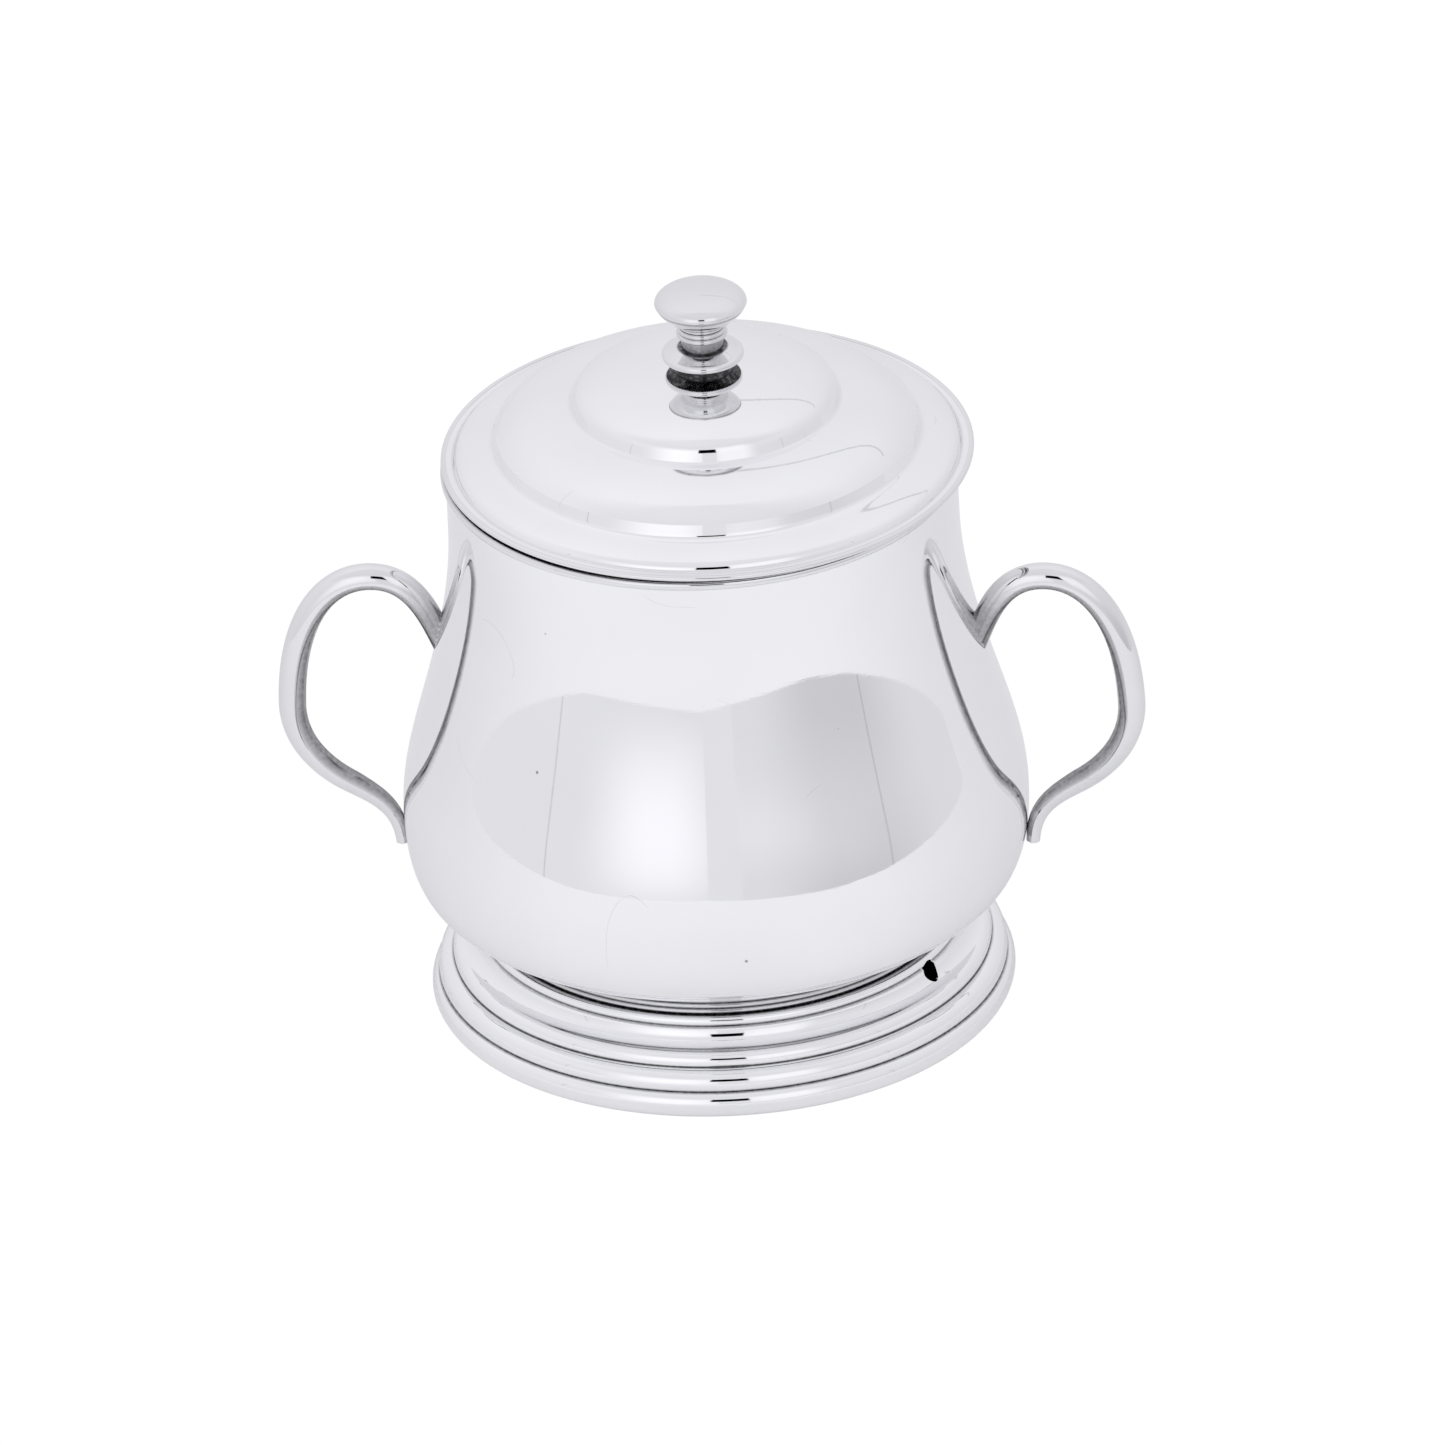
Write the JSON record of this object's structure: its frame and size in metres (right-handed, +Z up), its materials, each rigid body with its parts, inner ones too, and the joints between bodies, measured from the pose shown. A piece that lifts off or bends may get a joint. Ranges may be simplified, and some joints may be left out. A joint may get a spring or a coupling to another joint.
{
  "type": "sugar bowl",
  "caption": "Lidded silver sugar bowl: pear-shaped body on a stepped closed foot, two cast loop handles, and a double-domed lift-off lid with a turned knob.",
  "frame": {"origin": "centre of the foot, on the surface that the bowl stands on", "axes": "+X through the two handles towards the right one, -Y towards the front, +Z up along the bowl's axis"},
  "size_m": [0.145, 0.1042, 0.132],
  "materials": {
    "silver_spun": "mirror-polished silver plate on spun sheet",
    "silver_cast": "mirror-polished silver plate on castings and wires",
    "silver_inside": "satin silver plate where it is out of sight",
    "steel": "plain steel fastener"
  },
  "bodies": {
    "bowl": {"bowl_body": "silver_spun", "mouth_wire": "silver_cast", "neck_collar": "silver_cast", "foot_shell": "silver_spun", "base_plate": "silver_inside", "left_handle": "silver_cast", "right_handle": "silver_cast"},
    "lid": {"lid_shell": "silver_spun", "lid_rim_wire": "silver_cast", "lid_bezel": "silver_inside", "knob_collar": "silver_cast", "knob_finial": "silver_cast", "knob_stud": "steel", "knob_washer": "steel", "knob_nut": "steel"}
  },
  "joints": [
    {"name": "lid_lift", "type": "slide", "parent": "bowl", "child": "lid", "axis": [0, 0, 1], "range_m": [0, 0.06]}
  ]
}
